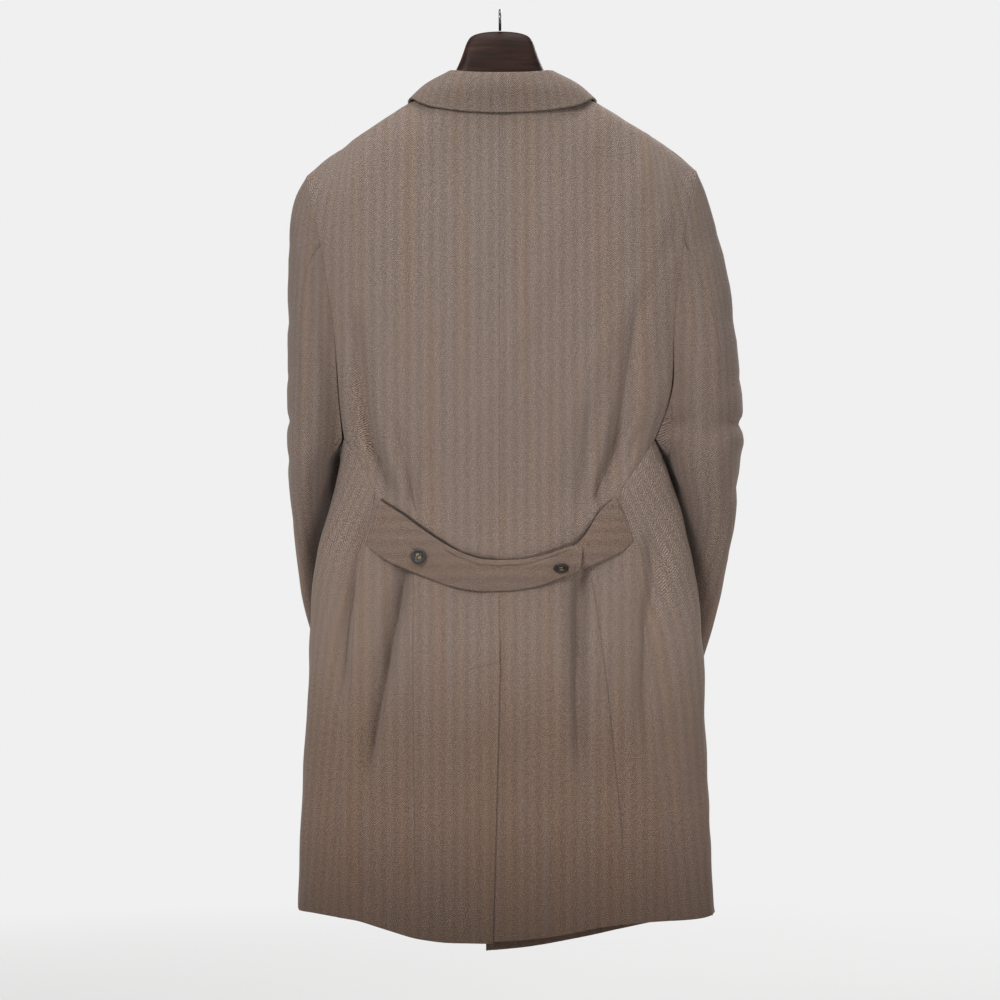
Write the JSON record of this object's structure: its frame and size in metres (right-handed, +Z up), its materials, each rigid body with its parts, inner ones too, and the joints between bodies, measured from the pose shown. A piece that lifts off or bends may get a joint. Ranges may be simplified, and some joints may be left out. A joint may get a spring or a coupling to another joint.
{
  "type": "herringbone coat on a wooden hanger",
  "caption": "Long single-breasted herringbone wool coat with collar, back vent and buttoned half-belt, hanging on a shaped wooden hanger with a wire hook.",
  "frame": {"origin": "where a rail touches the inside of the hanger's hook", "axes": "+Z up along the coat's length, -Y the coat's front, +X the wearer's left"},
  "size_m": [0.5849, 0.3142, 1.2172],
  "materials": {
    "cloth": "matt",
    "horn": "satin",
    "dark_wood": "varnished",
    "steel_wire": "polished"
  },
  "bodies": {
    "root": {"back_left": "cloth", "back_right": "cloth", "front_left": "cloth", "front_right": "cloth", "sleeve_top_left": "cloth", "sleeve_top_right": "cloth", "sleeve_under_left": "cloth", "sleeve_under_right": "cloth", "collar": "cloth", "lapel_left": "cloth", "lapel_right": "cloth", "belt_left": "cloth", "belt_right": "cloth", "belt_button_left": "horn", "belt_button_right": "horn", "front_button_1": "horn", "front_button_2": "horn", "front_button_3": "horn", "hanger_body": "dark_wood", "hanger_hook": "steel_wire"}
  },
  "joints": []
}
